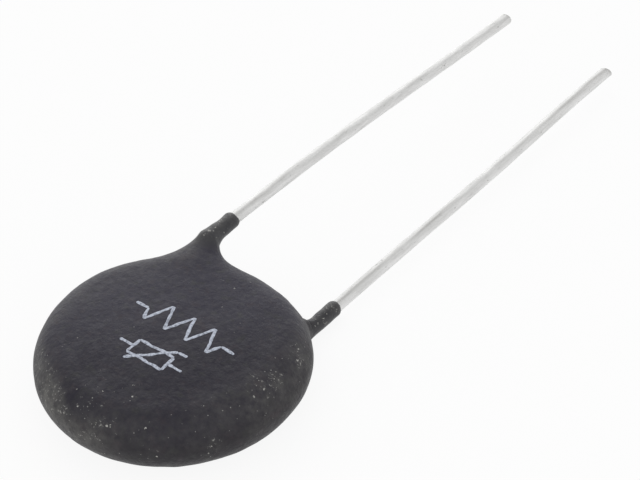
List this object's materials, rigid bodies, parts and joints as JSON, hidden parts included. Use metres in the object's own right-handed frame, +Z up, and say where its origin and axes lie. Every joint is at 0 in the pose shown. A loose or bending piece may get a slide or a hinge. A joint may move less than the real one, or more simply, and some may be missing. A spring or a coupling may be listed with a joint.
{
  "type": "ntc thermistor",
  "caption": "Dark resin-dipped ceramic disc thermistor with long straight tinned wire leads, soldered through a circuit board to hold back the rush of current at switch-on.",
  "frame": {"origin": "on the lower flat face, under the middle of the ceramic disc", "axes": "+X across the leads towards the one that comes from the lower face, +Y along the leads to their tips, +Z up through the disc"},
  "size_m": [0.017, 0.049, 0.005],
  "materials": {
    "resin": "dipped resin, matte, with a satin sleeve on each wire",
    "ceramic": "sintered metal oxide, dull",
    "silver": "fired silver, satin",
    "solder": "solder, bright",
    "tinned_wire": "dull tin",
    "print": "bluish white ink, a little worn; simple strokes on the upper face, no lettering"
  },
  "bodies": {
    "root": {"coating": "resin", "ceramic_disc": "ceramic", "electrode_top": "silver", "electrode_bottom": "silver", "solder_top": "solder", "solder_bottom": "solder", "lead_top": "tinned_wire", "lead_bottom": "tinned_wire"}
  },
  "joints": []
}
